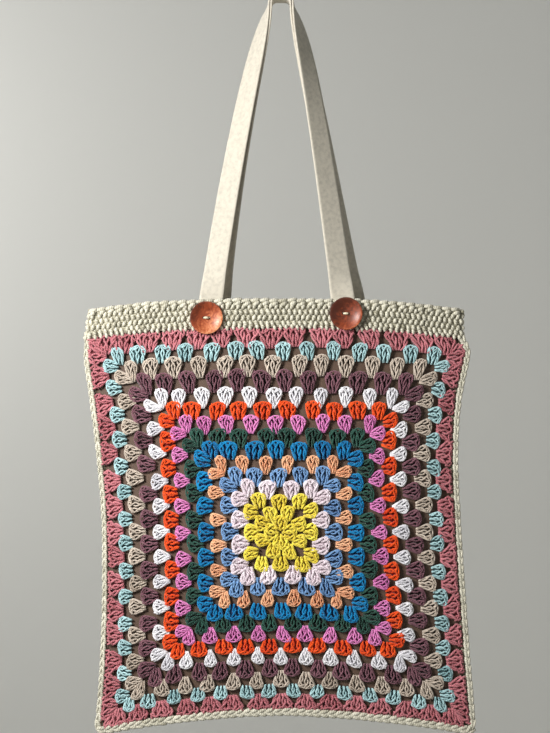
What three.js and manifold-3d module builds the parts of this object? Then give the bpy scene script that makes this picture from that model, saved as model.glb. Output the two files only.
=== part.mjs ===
// A crocheted shoulder bag of two granny squares, hanging by its two webbing handles. Millimetres.
// X runs across the bag, Y through its depth with the front at minus Y, and Z is up.
// The origin is the underside of the inner handle's loop, where the bag hangs on its support.
import * as THREE from "three";
import { mergeVertices } from "three/addons/utils/BufferGeometryUtils.js";
import Module from "manifold-3d";

const wasm = await Module();
wasm.setup();

// The granny squares
const waistHalfWidth = 140.4;
const spreadUpwards = { left: 3, right: -9 };
const shoulderFlare = { left: 13.3, right: 17.1 };
const shoulderBend = { left: 1.7, right: 3.3 };
const shoulderPeak = 0.93;
const bandPull = { left: 0, right: 3.2 };
const footFlare = { left: 8.5, right: 3 };
const footBend = { left: 2, right: 1 };
const panelRise = 169.5;
const panelFall = 146.5;
const shoulderDrop = 8.5;
const shoulderDropBend = 2.6;
const cornerSag = 15.5;
const cornerSagBend = 1.6;
const crochetWall = 3.5;
const notchDepthShare = 0.55;
const eyelet = 2.4;

// The bag's inside
const fullness = 11.8;
const mouthPinch = 0.25;
const liningWall = 1;
const liningBelowTop = 4;
const seamHalfGap = 0.2;

// The band round the mouth and the braid round the other three sides
const bandHeight = 25.5;
const bandEndWrap = 4.5;
const braidWidth = 8.3;
const braidDepth = 10;

// The handles
const handleDrop = 248.5;
const webbingWidth = 20;
const webbingThickness = 1.7;
const tabLength = 28;
const tabX = { left: -58, right: 51.5 };
const backHandleShift = { left: 6, right: 9 };
const hookFlat = 3.5;
const hookRadius = 4;
const lowerPull = 80;
const upperPull = 62;
const lowerLean = THREE.MathUtils.degToRad(8);
const upperLean = THREE.MathUtils.degToRad(16);
const exitTurn = THREE.MathUtils.degToRad(16);
const strandTurn = THREE.MathUtils.degToRad(34);

// The buttons
const buttonRadius = 13.5;
const buttonHeight = 4.2;
const buttonDish = 1.9;
const buttonBelowTop = { left: 16.3, right: 13 };
const buttonOutward = { left: 3.8, right: 2.3 };
const threadWidth = 1.6;
const threadHoleSpacing = 4.6;

// The clearance between pieces that touch, and how finely curves are faceted
const gap = 0.3;
const stationsPerSide = 6;
const strandSteps = 14;
const hookSteps = 4;
const buttonSegments = 20;

// How much the rounds crowd towards the square's centre (plus) or away from it (minus)
const sideCrowding = -0.1;
const topCrowding = 0.05;
const footCrowding = -0.15;

// The colour rounds from the centre out. Height is a share of a plain round's height.
const rounds = [
  { name: "yellow", rows: 3, height: 1, colour: 0xe1cd46 },
  { name: "pale_pink", rows: 1, height: 1, colour: 0xebd7e1 },
  { name: "periwinkle", rows: 1, height: 1, colour: 0x6e96cd },
  { name: "peach", rows: 1, height: 1, colour: 0xf0af82 },
  { name: "blue", rows: 1, height: 1, colour: 0x007dbe },
  { name: "green", rows: 1, height: 1, colour: 0x1e5541 },
  { name: "orchid", rows: 1, height: 1, colour: 0xd76ebe },
  { name: "orange", rows: 1, height: 1, colour: 0xf05014 },
  { name: "white", rows: 1, height: 1.1, colour: 0xf0eef5 },
  { name: "plum", rows: 1, height: 1.2, colour: 0x694155 },
  { name: "taupe", rows: 1, height: 1.08, colour: 0xbbaea1 },
  { name: "aqua", rows: 1, height: 0.98, colour: 0xa0d7e1 },
  { name: "rose", rows: 1, height: 1, colour: 0xc87382 },
];
const notchedRound = "white";
const eyeletRound = "yellow";

// Soft dents in the walls. Across and climb place each one, as shares of the half width and the
// height. Radius is a share of the half width, and depth one of the fullness.
const dents = {
  front: [
    { across: -0.42, climb: 0.36, radius: 0.3, depth: 0.16 },
    { across: 0.38, climb: 0.52, radius: 0.26, depth: 0.12 },
    { across: 0.1, climb: 0.16, radius: 0.2, depth: 0.1 },
  ],
  back: [
    { across: 0.35, climb: 0.3, radius: 0.3, depth: 0.14 },
    { across: -0.3, climb: 0.55, radius: 0.25, depth: 0.12 },
  ],
};

// The button's half section: reach is a share of its radius, and rise one of its height
const buttonProfile = [
  { reach: 0, rise: 0 },
  { reach: 0.9, rise: 0 },
  { reach: 0.985, rise: 0.24 },
  { reach: 1, rise: 0.52 },
  { reach: 0.94, rise: 0.88 },
  { reach: 0.83, rise: 1 },
];

// The braid's section: out is a share of its width, and deep one of its half depth
const braidProfile = [
  { out: 0, deep: -0.7 },
  { out: 0.2, deep: -1 },
  { out: 0.75, deep: -1 },
  { out: 1, deep: -0.55 },
  { out: 1, deep: 0.55 },
  { out: 0.75, deep: 1 },
  { out: 0.2, deep: 1 },
  { out: 0, deep: 0.7 },
];

const panelHeight = panelRise + panelFall;
const panelClimb = panelHeight / (panelHeight + bandHeight);
const centreZ = -(handleDrop + bandHeight + panelRise);
const crochetNear = liningWall + gap;
const crochetFar = crochetNear + crochetWall;
const plainRounds = rounds.reduce((sum, round) => sum + round.rows * round.height, 0);
const { lerp, smoothstep } = THREE.MathUtils;

function reach(share, crowding) {
  return share - crowding * share * (1 - share);
}

// How far an edge stands out from the middle. Above, it is widest just under the band.
function flareAt(hand, up) {
  const slant = spreadUpwards[hand] * up;
  if (up < 0) return slant + footFlare[hand] * (-up) ** footBend[hand];
  const spread = shoulderFlare[hand] * Math.min(1, up / shoulderPeak) ** shoulderBend[hand];
  return slant + spread - bandPull[hand] * smoothstep(up, shoulderPeak, 1);
}

// The point of a panel at shares from -1 to 1 of its half width and of its height either way
function panelPoint(side, across, up) {
  const halfWidth = waistHalfWidth + flareAt(across < 0 ? "left" : "right", up);
  const out = Math.abs(across);
  const rise = reach(Math.abs(up), topCrowding) * (panelRise - shoulderDrop * out ** shoulderDropBend);
  const fall = reach(Math.abs(up), footCrowding) * (panelFall + cornerSag * out ** cornerSagBend);
  return {
    x: Math.sign(across) * reach(out, sideCrowding) * halfWidth,
    z: centreZ + (up < 0 ? -fall : rise),
    depth: halfDepth(side, across, ((up + 1) / 2) * panelClimb),
  };
}

// The point of the band over a place on the panel's upper edge. Share 0 is its foot, 1 its top.
function bandPoint(side, across, share) {
  const foot = panelPoint(side, across, 1);
  const depth = halfDepth(side, across, lerp(panelClimb, 1, share));
  return { x: foot.x, z: foot.z + share * bandHeight, depth };
}

// Half the room inside the bag, at a share of its half width and of its height
function halfDepth(side, across, climb) {
  const spread = 1 - Math.abs(across) ** 2.5;
  const swell = (1 - (1 - climb) ** 3) * (1 - mouthPinch * climb ** 2);
  let room = 1;
  for (const dent of dents[side]) {
    const away = ((across - dent.across) ** 2 + (climb - dent.climb) ** 2) / dent.radius ** 2;
    room -= dent.depth * Math.exp(-away);
  }
  return seamHalfGap + fullness * spread * swell * room;
}

function mix(a, b, share) {
  return {
    x: lerp(a.x, b.x, share),
    z: lerp(a.z, b.z, share),
    depth: lerp(a.depth, b.depth, share),
  };
}

function distance(a, b) {
  return Math.hypot(a.x - b.x, a.z - b.z, a.depth - b.depth);
}

// One square loop of stations round a panel, at a share of its size, clockwise from the top left
function squareLoop(side, size) {
  const loop = [];
  for (let edge = 0; edge < 4; edge++) {
    for (let station = 0; station < stationsPerSide; station++) {
      const along = size * ((2 * station) / stationsPerSide - 1);
      const [across, up] = [
        [along, size],
        [size, -along],
        [-along, -size],
        [-size, along],
      ][edge];
      loop.push(panelPoint(side, across, up));
    }
  }
  return loop;
}

// A place on a loop between its stations
function onLoop(loop, place) {
  const station = Math.floor(place) % loop.length;
  return mix(loop[station], loop[(station + 1) % loop.length], place - Math.floor(place));
}

// Every loop where one colour meets the next, with the panel's centre as a loop of no size
function colourLoops(side) {
  const loops = [squareLoop(side, 0)];
  let size = 0;
  for (const round of rounds) {
    size += (round.rows * round.height) / plainRounds;
    loops.push(squareLoop(side, size));
  }
  return loops;
}

// A net of triangles that joins each point once, however often it is added
class Net {
  constructor() {
    this.points = [];
    this.triangles = [];
    this.known = new Map();
  }

  point(p) {
    const key = [p.x, p.z].map((value) => value.toFixed(4)).join();
    if (!this.known.has(key)) {
      this.known.set(key, this.points.length);
      this.points.push(p);
    }
    return this.known.get(key);
  }

  triangle(a, b, c) {
    const corners = [this.point(a), this.point(b), this.point(c)];
    if (new Set(corners).size === 3) this.triangles.push(corners);
  }

  quad(a, b, c, d) {
    this.triangle(a, b, c);
    this.triangle(a, c, d);
  }

  strip(inner, outer) {
    for (let i = 0; i < inner.length; i++) {
      const next = (i + 1) % inner.length;
      this.quad(inner[i], outer[i], outer[next], inner[next]);
    }
  }
}

// The solid between a net at two depths behind the panel's face, walled along its open edges
function thicken(net, side, near, far) {
  const facing = side === "front" ? -1 : 1;
  const count = net.points.length;
  const position = [];
  for (const depth of [near, far]) {
    for (const p of net.points) position.push(p.x, facing * (p.depth + depth), p.z);
  }
  const index = [];
  const edges = new Set();
  for (const [a, b, c] of net.triangles) {
    index.push(a, b, c, a + count, c + count, b + count);
    for (const [from, to] of [[a, b], [b, c], [c, a]]) edges.add(`${from},${to}`);
  }
  for (const edge of edges) {
    const [from, to] = edge.split(",").map(Number);
    if (edges.has(`${to},${from}`)) continue;
    index.push(from, from + count, to + count, from, to + count, to);
  }
  return closedGeometry(position, index);
}

// A geometry whose faces point out
function closedGeometry(position, index) {
  const corner = (i) => new THREE.Vector3().fromArray(position, 3 * i);
  let volume = 0;
  for (let i = 0; i < index.length; i += 3) {
    const [a, b, c] = [corner(index[i]), corner(index[i + 1]), corner(index[i + 2])];
    volume += a.dot(b.cross(c));
  }
  if (volume < 0) index.reverse();
  const geometry = new THREE.BufferGeometry();
  geometry.setAttribute("position", new THREE.Float32BufferAttribute(position, 3));
  geometry.setIndex(index);
  geometry.computeVertexNormals();
  return geometry;
}

// A solid through sections of equal point counts, either capped at both ends or run round in a
// ring. The two halves of a section split their quads alike, so that nested strips stay parallel.
function sweep(sections, isRing) {
  const size = sections[0].length;
  const position = sections.flat().flatMap((p) => p.toArray());
  const index = [];
  const steps = isRing ? sections.length : sections.length - 1;
  for (let i = 0; i < steps; i++) {
    const here = i * size;
    const there = ((i + 1) % sections.length) * size;
    for (let j = 0; j < size; j++) {
      const next = (j + 1) % size;
      const [a, b, c, d] = [here + j, here + next, there + next, there + j];
      if (j < size / 2) index.push(a, b, c, a, c, d);
      else index.push(a, b, d, b, c, d);
    }
  }
  if (!isRing) {
    const last = (sections.length - 1) * size;
    for (let j = 1; j < size - 1; j++) {
      index.push(0, j + 1, j, last, last + j, last + j + 1);
    }
  }
  return closedGeometry(position, index);
}

function toSolid(geometry) {
  const bare = geometry.index ? geometry.toNonIndexed() : geometry.clone();
  for (const name of Object.keys(bare.attributes)) {
    if (name !== "position") bare.deleteAttribute(name);
  }
  const merged = mergeVertices(bare);
  return new wasm.Manifold(
    new wasm.Mesh({
      numProp: 3,
      vertProperties: merged.attributes.position.array,
      triVerts: new Uint32Array(merged.index.array),
    }),
  );
}

function toGeometry(solid) {
  const mesh = solid.getMesh();
  const geometry = new THREE.BufferGeometry();
  geometry.setAttribute("position", new THREE.BufferAttribute(mesh.vertProperties, 3));
  geometry.setIndex(new THREE.BufferAttribute(mesh.triVerts, 1));
  geometry.computeVertexNormals();
  return geometry;
}

const bag = new THREE.Group();

function addPiece(name, geometry, material) {
  const mesh = new THREE.Mesh(geometry, material);
  mesh.name = name;
  bag.add(mesh);
  return mesh;
}

const cotton = (colour) => new THREE.MeshStandardMaterial({ color: colour, roughness: 0.95 });
const liningCloth = new THREE.MeshStandardMaterial({ color: 0x8c735f, roughness: 0.8 });
const webbing = cotton(0xf4eadf);
const creamYarn = cotton(0xe1e1d2);
const thread = cotton(0xe8dcc0);
const buttonShell = new THREE.MeshStandardMaterial({ color: 0x964623, roughness: 0.2 });

// The two places on a patch between loops that lie half a gap inside its edges
function insideEdges(inner, outer, place) {
  const from = onLoop(inner, place);
  const to = onLoop(outer, place);
  const inset = gap / 2 / distance(from, to);
  return { from, to, inset };
}

// One colour round as a plain ring
function plainRing(inner, outer) {
  const near = [];
  const far = [];
  for (let place = 0; place < outer.length; place++) {
    const { from, to, inset } = insideEdges(inner, outer, place);
    near.push(mix(from, to, inset));
    far.push(mix(from, to, 1 - inset));
  }
  const net = new Net();
  net.strip(near, far);
  return net;
}

// One colour round whose clusters are wedges, with a notch at the foot between each two
function notchedRing(inner, outer, clusters) {
  const near = [];
  const far = [];
  for (let half = 0; half < 2 * clusters; half++) {
    const { from, to, inset } = insideEdges(inner, outer, (half * outer.length) / (2 * clusters));
    const isNotch = half % 2 === 0;
    near.push(mix(from, to, isNotch ? notchDepthShare : inset));
    far.push(mix(from, to, 1 - inset));
  }
  const net = new Net();
  net.strip(near, far);
  return net;
}

// The centre rounds as one plate, with an eyelet between each two clusters of its last round
function centrePlate(side, centre, outer, rows) {
  const edge = outer.map((p, place) => {
    const { from, to, inset } = insideEdges(centre, outer, place);
    return mix(from, to, 1 - inset);
  });
  const net = new Net();
  net.strip(centre, edge);
  let plate = toSolid(thicken(net, side, crochetNear, crochetFar));
  const size = (rows - 0.95) / plainRounds;
  for (let edgeTurn = 0; edgeTurn < 4; edgeTurn++) {
    for (let cluster = 0; cluster < rows; cluster++) {
      const along = size * ((2 * cluster) / rows - 1);
      const turned = [[along, size], [size, -along], [-along, -size], [-size, along]][edgeTurn];
      const place = panelPoint(side, ...turned);
      const punch = new THREE.BoxGeometry(eyelet, 4 * (fullness + crochetFar), eyelet);
      punch.translate(place.x, 0, place.z);
      plate = plate.subtract(toSolid(punch));
    }
  }
  return toGeometry(plate);
}

function addPanel(side) {
  const loops = colourLoops(side);
  let rowsSoFar = 0;
  rounds.forEach((round, i) => {
    rowsSoFar += round.rows;
    const name = `${side}_round_${round.name}`;
    const material = cotton(round.colour);
    if (round.name === eyeletRound) {
      addPiece(name, centrePlate(side, loops[i], loops[i + 1], round.rows), material);
      return;
    }
    const isNotched = round.name === notchedRound;
    const net = isNotched
      ? notchedRing(loops[i], loops[i + 1], 4 * rowsSoFar)
      : plainRing(loops[i], loops[i + 1]);
    addPiece(name, thicken(net, side, crochetNear, crochetFar), material);
  });
}

// The lining of one side: the whole square, and on up inside the band
function addLining(side) {
  const loops = colourLoops(side);
  const net = new Net();
  for (let i = 1; i < loops.length; i++) net.strip(loops[i - 1], loops[i]);
  const top = 1 - liningBelowTop / bandHeight;
  for (let station = 0; station < stationsPerSide; station++) {
    const from = (2 * station) / stationsPerSide - 1;
    const to = (2 * (station + 1)) / stationsPerSide - 1;
    net.quad(
      bandPoint(side, from, 0),
      bandPoint(side, from, top),
      bandPoint(side, to, top),
      bandPoint(side, to, 0),
    );
  }
  addPiece(`lining_${side}`, thicken(net, side, 0, liningWall), liningCloth);
}

// The band is a collar. Each section is a slice through its wall: foot and top, inside and outside.
function bandSection(insideX, outsideX, insideY, outsideY, footZ, topZ) {
  return [
    new THREE.Vector3(insideX, insideY, footZ),
    new THREE.Vector3(outsideX, outsideY, footZ),
    new THREE.Vector3(outsideX, outsideY, topZ),
    new THREE.Vector3(insideX, insideY, topZ),
  ];
}

function bandWallSection(side, across) {
  const facing = side === "front" ? -1 : 1;
  const foot = bandPoint(side, across, 0);
  const section = bandSection(foot.x, foot.x, 0, 0, foot.z + gap, foot.z + bandHeight);
  const depths = [0, 0, 1, 1].map((share) => bandPoint(side, across, share).depth);
  section.forEach((corner, i) => {
    const isOutside = i === 1 || i === 2;
    corner.y = facing * (depths[i] + (isOutside ? crochetFar : crochetNear));
  });
  return section;
}

function bandEndSections(hand) {
  const across = hand === "left" ? -1 : 1;
  const foot = bandPoint("front", across, 0);
  const insideX = foot.x + across * (gap + seamHalfGap);
  return [-45, 0, 45].map((degrees) => {
    const turn = THREE.MathUtils.degToRad(degrees);
    return bandSection(
      insideX,
      foot.x + across * bandEndWrap * Math.cos(turn),
      (seamHalfGap + crochetNear) * Math.sin(turn),
      (seamHalfGap + crochetFar) * Math.sin(turn),
      foot.z + gap,
      foot.z + bandHeight,
    );
  });
}

function addBand() {
  const stations = [];
  for (let station = 0; station <= stationsPerSide; station++) {
    stations.push((2 * station) / stationsPerSide - 1);
  }
  const sections = [
    ...stations.map((across) => bandWallSection("front", across)),
    ...bandEndSections("right"),
    ...stations.toReversed().map((across) => bandWallSection("back", across)),
    ...bandEndSections("left").toReversed(),
  ];
  addPiece("top_band", sweep(sections, true), creamYarn);
}

// The braid's path: the panel's edge down the left side, along the foot and up the right side.
// Each stop has the direction that points out of the bag there, and a corner has several.
function braidStops() {
  const loop = squareLoop("front", 1);
  const [topRight, footRight, footLeft] = [1, 2, 3].map((edge) => edge * stationsPerSide);
  const left = [...loop.slice(footLeft + 1), loop[0]].toReversed();
  const foot = loop.slice(footRight + 1, footLeft).toReversed();
  const right = loop.slice(topRight, footRight).toReversed();
  const out = (degrees) => {
    const turn = THREE.MathUtils.degToRad(degrees);
    return new THREE.Vector3(Math.cos(turn), 0, Math.sin(turn));
  };
  const corner = (place, degrees) => degrees.map((angle) => ({ place, out: out(angle) }));
  const along = (places, side) =>
    places.map((place, i) => {
      const isEnd = side !== "foot" && place.z === Math.max(...places.map((p) => p.z));
      const before = places[i - 1] ?? place;
      const after = places[i + 1] ?? place;
      const run = new THREE.Vector3(after.x - before.x, 0, after.z - before.z).normalize();
      const outward = new THREE.Vector3(run.z, 0, -run.x);
      if (isEnd) outward.set(side === "left" ? -1 : 1, 0, 0);
      return { place, out: outward };
    });
  return [
    ...along(left, "left"),
    ...corner(loop[footLeft], [190, 225, 260]),
    ...along(foot, "foot"),
    ...corner(loop[footRight], [280, 315, 350]),
    ...along(right, "right"),
  ];
}

function addBraid() {
  const sections = braidStops().map(({ place, out }) =>
    braidProfile.map((point) => {
      const away = gap + point.out * braidWidth;
      return new THREE.Vector3(
        place.x + out.x * away,
        (point.deep * braidDepth) / 2,
        place.z + out.z * away,
      );
    }),
  );
  addPiece("edge_braid", sweep(sections, false), creamYarn);
}

// A flat seat against the band's faceted wall, over a span across it. Depth and slope are those of
// the chord between the span's ends, and bulge is how far the wall stands out past the chord.
function bandSeat(side, x, halfSpan, share) {
  const stations = [];
  for (let station = 0; station <= stationsPerSide; station++) {
    stations.push(bandPoint(side, (2 * station) / stationsPerSide - 1, share));
  }
  const wallAt = (at) => {
    const next = Math.max(1, stations.findIndex((p) => p.x > at));
    const [a, b] = [stations[next - 1], stations[next]];
    return mix(a, b, (at - a.x) / (b.x - a.x));
  };
  const from = wallAt(x - halfSpan).depth;
  const to = wallAt(x + halfSpan).depth;
  const slope = (to - from) / (2 * halfSpan);
  const depth = (from + to) / 2;
  const inSpan = stations.filter((p) => Math.abs(p.x - x) < halfSpan);
  const bulges = inSpan.map((p) => p.depth - depth - slope * (p.x - x));
  return { depth, slope, bulge: Math.max(0, ...bulges), z: wallAt(x).z };
}

// A slice of webbing at a point, from its width direction and the way that it runs
function webbingSection(point, across, run) {
  const wide = across.clone().addScaledVector(run, -across.dot(run)).normalize();
  const thick = new THREE.Vector3().crossVectors(run, wide);
  return [
    [-1, -1],
    [1, -1],
    [1, 1],
    [-1, 1],
  ].map(([w, t]) =>
    point
      .clone()
      .addScaledVector(wide, (w * webbingWidth) / 2)
      .addScaledVector(thick, (t * webbingThickness) / 2),
  );
}

// The width direction of a strand turned from lying in the bag's plane towards its depth
function widthDirection(hand, turn) {
  const inward = hand === "left" ? 1 : -1;
  return new THREE.Vector3(inward * Math.cos(turn), -Math.sin(turn), 0);
}

// The sewn end of a strand, from its lower end to the band's top, flat on the lining
function tabSections(side, hand) {
  const facing = side === "front" ? -1 : 1;
  const inward = hand === "left" ? 1 : -1;
  const x = tabX[hand] + (side === "back" ? backHandleShift[hand] : 0);
  return [1 - tabLength / bandHeight, 0.5, 1].map((share) => {
    const seat = bandSeat(side, x, webbingWidth / 2, share);
    const y = facing * (seat.depth - gap - webbingThickness / 2);
    const point = new THREE.Vector3(x, y, seat.z);
    const turn = -facing * Math.atan(inward * seat.slope);
    const up = new THREE.Vector3(0, 0, 1);
    return { point, section: webbingSection(point, widthDirection(hand, turn), up), turn };
  });
}

// The front strand's run from the band to the hook, and how the back strand nests behind it
function strandSections(side, hand) {
  const inward = hand === "left" ? 1 : -1;
  const frontTab = tabSections("front", hand).at(-1);
  const backTab = tabSections("back", hand).at(-1);
  const start = frontTab.point;
  const nesting = webbingThickness + gap;
  const radius = hookRadius + nesting + webbingThickness / 2;
  const end = new THREE.Vector3(
    -inward * (hookFlat + radius * Math.cos(upperLean)),
    0,
    -hookRadius + radius * Math.sin(upperLean),
  );
  const leaning = (lean) => new THREE.Vector3(inward * Math.sin(lean), 0, Math.cos(lean));
  const curve = new THREE.CubicBezierCurve3(
    start,
    start.clone().addScaledVector(leaning(lowerLean), lowerPull).setY((start.y * 2) / 3),
    end.clone().addScaledVector(leaning(upperLean), -upperPull).setY(start.y / 3),
    end,
  );
  const spread = backTab.point.clone().sub(start);
  const tabTurn = side === "front" ? frontTab.turn : backTab.turn;
  const sections = [];
  for (let step = 1; step <= strandSteps; step++) {
    const share = step / strandSteps;
    const turned = exitTurn * smoothstep(share, 0, 0.1) + strandTurn * share;
    const rest = Math.PI / 2 - exitTurn - strandTurn;
    const turn = turned + rest * share ** 8 + tabTurn * (1 - smoothstep(share, 0, 0.1));
    const point = curve.getPoint(share);
    const run = curve.getTangent(share);
    const across = widthDirection(hand, turn);
    if (side === "back") {
      const fade = (1 - share) ** 2;
      const behind = new THREE.Vector3().crossVectors(run, across).normalize();
      const nested = behind.multiplyScalar(inward * nesting);
      point.addScaledVector(spread, fade).addScaledVector(nested, 1 - fade);
    }
    sections.push(webbingSection(point, across, run));
  }
  return sections;
}

// The turn over the hook on one side, from the strand's end to the flat on top
function hookSections(side, hand) {
  const inward = hand === "left" ? 1 : -1;
  const outer = side === "front" ? webbingThickness + gap : 0;
  const radius = hookRadius + outer + webbingThickness / 2;
  const sections = [];
  for (let step = 1; step <= hookSteps; step++) {
    const turn = lerp(upperLean, Math.PI / 2, step / hookSteps);
    const point = new THREE.Vector3(
      -inward * (hookFlat + radius * Math.cos(turn)),
      0,
      -hookRadius + radius * Math.sin(turn),
    );
    const run = new THREE.Vector3(inward * Math.sin(turn), 0, Math.cos(turn));
    sections.push(webbingSection(point, widthDirection(hand, Math.PI / 2), run));
  }
  return sections;
}

// The right half is built from its tab up, then turned round so that the handle runs on
function addHandle(side) {
  const half = (hand) => [
    ...tabSections(side, hand).map((tab) => tab.section),
    ...strandSections(side, hand),
    ...hookSections(side, hand),
  ];
  const right = half("right").toReversed();
  const turnedRound = right.map(([a, b, c, d]) => [d, c, b, a]);
  addPiece(`handle_${side}`, sweep([...half("left"), ...turnedRound], false), webbing);
}

// A dished button with two thread holes, its back in the plane of y = 0 and its face at minus Y
function buttonGeometry() {
  const profile = buttonProfile.map(
    ({ reach: out, rise }) => new THREE.Vector2(out * buttonRadius, rise * buttonHeight),
  );
  profile.push(new THREE.Vector2(0.55 * buttonRadius, buttonDish + 0.3));
  profile.push(new THREE.Vector2(0, buttonDish));
  const lathe = new THREE.LatheGeometry(profile, buttonSegments);
  let button = toSolid(closedGeometry([...lathe.attributes.position.array], [...lathe.index.array]));
  const holeRadius = threadWidth / 2 + gap + 0.2;
  for (const way of [-1, 1]) {
    const hole = new THREE.CylinderGeometry(holeRadius, holeRadius, 4 * buttonHeight, 8);
    hole.translate((way * threadHoleSpacing) / 2, 0, 0);
    button = button.subtract(toSolid(hole));
  }
  return toGeometry(button).rotateX(Math.PI);
}

// The thread that holds a button: a bridge across its middle with a leg down each hole
function threadGeometry() {
  const legs = (threadHoleSpacing + threadWidth) / 2;
  const inner = (threadHoleSpacing - threadWidth) / 2;
  const bridge = buttonDish + 0.3 + gap;
  const top = bridge + threadWidth * 0.7;
  const outline = new THREE.Shape([
    new THREE.Vector2(-legs, 0),
    new THREE.Vector2(-inner, 0),
    new THREE.Vector2(-inner, bridge),
    new THREE.Vector2(inner, bridge),
    new THREE.Vector2(inner, 0),
    new THREE.Vector2(legs, 0),
    new THREE.Vector2(legs, top),
    new THREE.Vector2(-legs, top),
  ]);
  const geometry = new THREE.ExtrudeGeometry(outline, { depth: threadWidth, bevelEnabled: false });
  return geometry.translate(0, 0, -threadWidth / 2).rotateX(Math.PI);
}

function addButton(hand) {
  const outward = hand === "left" ? -1 : 1;
  const x = tabX[hand] + outward * buttonOutward[hand];
  const share = 1 - buttonBelowTop[hand] / bandHeight;
  const seat = bandSeat("front", x, buttonRadius, share);
  const place = new THREE.Group();
  place.position.set(x, -(seat.depth + seat.bulge + crochetFar + gap), seat.z);
  place.rotation.z = -Math.atan(seat.slope);
  const button = new THREE.Mesh(buttonGeometry(), buttonShell);
  button.name = `button_${hand}`;
  const stitch = new THREE.Mesh(threadGeometry(), thread);
  stitch.name = `button_thread_${hand}`;
  place.add(button, stitch);
  bag.add(place);
}

for (const side of ["front", "back"]) {
  addPanel(side);
  addLining(side);
  addHandle(side);
}
addBand();
addBraid();
addButton("left");
addButton("right");

export default bag;
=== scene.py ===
"""The looks of a crocheted shoulder bag: two granny squares of yarn clusters, a cream band and
braid, a brown lining, twisted webbing handles and two dished buttons.

The soft goods are worked out in millimetres and turned into metres where a mesh is made. The
buttons, the room, the lights and the camera's place are in metres.
X runs across the bag, Y through it with the front at minus Y, and Z is up.
"""
import math

import bpy
import numpy as np
from mathutils import Euler, Matrix, Vector


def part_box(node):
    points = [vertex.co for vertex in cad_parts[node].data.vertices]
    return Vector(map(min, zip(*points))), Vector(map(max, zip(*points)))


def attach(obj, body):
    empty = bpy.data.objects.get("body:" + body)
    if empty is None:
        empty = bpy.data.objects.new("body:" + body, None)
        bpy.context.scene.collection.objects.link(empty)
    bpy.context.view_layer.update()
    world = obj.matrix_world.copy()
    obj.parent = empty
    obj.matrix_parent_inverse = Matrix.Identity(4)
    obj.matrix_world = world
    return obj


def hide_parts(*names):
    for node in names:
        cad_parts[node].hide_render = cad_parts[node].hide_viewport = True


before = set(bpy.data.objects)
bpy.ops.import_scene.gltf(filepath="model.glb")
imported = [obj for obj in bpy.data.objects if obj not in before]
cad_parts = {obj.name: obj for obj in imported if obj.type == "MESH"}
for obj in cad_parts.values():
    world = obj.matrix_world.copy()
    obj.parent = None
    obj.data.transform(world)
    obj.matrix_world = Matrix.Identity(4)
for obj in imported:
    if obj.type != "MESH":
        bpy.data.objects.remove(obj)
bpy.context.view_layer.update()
random = np.random.default_rng(7)

MM = 0.001
UP = np.array([0.0, 0.0, 1.0])
THROUGH = np.array([0.0, 1.0, 0.0])

# The granny squares, as the solids have them. A pair is for the left half and the right half
WAIST_HALF_WIDTH = 140.4
SPREAD_UPWARDS = (3, -9)
SHOULDER_FLARE = (13.3, 17.1)
SHOULDER_BEND = (1.7, 3.3)
SHOULDER_PEAK = 0.93
BAND_PULL = (0, 3.2)
FOOT_FLARE = (8.5, 3)
FOOT_BEND = (2, 1)
PANEL_RISE = 169.5
PANEL_FALL = 146.5
SHOULDER_DROP = 8.5
SHOULDER_DROP_BEND = 2.6
CORNER_SAG = 15.5
CORNER_SAG_BEND = 1.6
SIDE_CROWDING = -0.1
TOP_CROWDING = 0.05
FOOT_CROWDING = -0.15

# The inside, the walls and the edges
FULLNESS = 11.8
SPREAD_BEND = 2.5
SWELL_BEND = 3
MOUTH_PINCH = 0.25
SEAM_HALF_GAP = 0.2
LINING_WALL = 1.0
LINING_BELOW_TOP = 4
GAP = 0.3
CROCHET_NEAR = LINING_WALL + GAP
BAND_HEIGHT = 25.5
# The yarn stands a little further out at the left and right than the solids' rings
SIDE_EASE = (3.0, 3.2)
BAND_END_EASE = (3.0, 0.6)
# Where the slack walls sink in: across, climb, radius and depth, as shares of the bag's own
DENTS = {
    "front": [(-0.42, 0.36, 0.3, 0.16), (0.38, 0.52, 0.26, 0.12), (0.1, 0.16, 0.2, 0.1)],
    "back": [(0.35, 0.3, 0.3, 0.14), (-0.3, 0.55, 0.25, 0.12)],
}

# The handles
HANDLE_DROP = 248.5
WEBBING_WIDTH = 20
WEBBING_THICKNESS = 1.6
SELVEDGE = 1.5
NESTING = 2.0
TAB_LENGTH = 27
TAB_CLEARANCE = 0.15
TAB_X = {"left": -58, "right": 51.5}
BACK_HANDLE_SHIFT = {"left": 6, "right": 9}
LOOP_FLAT = 3.5
LOOP_RADIUS = 4
LOWER_PULL = 80
UPPER_PULL = 62
LOWER_LEAN = math.radians(8)
UPPER_LEAN = math.radians(16)
EXIT_TURN = math.radians(16)
STRAND_TURN = math.radians(34)

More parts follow.
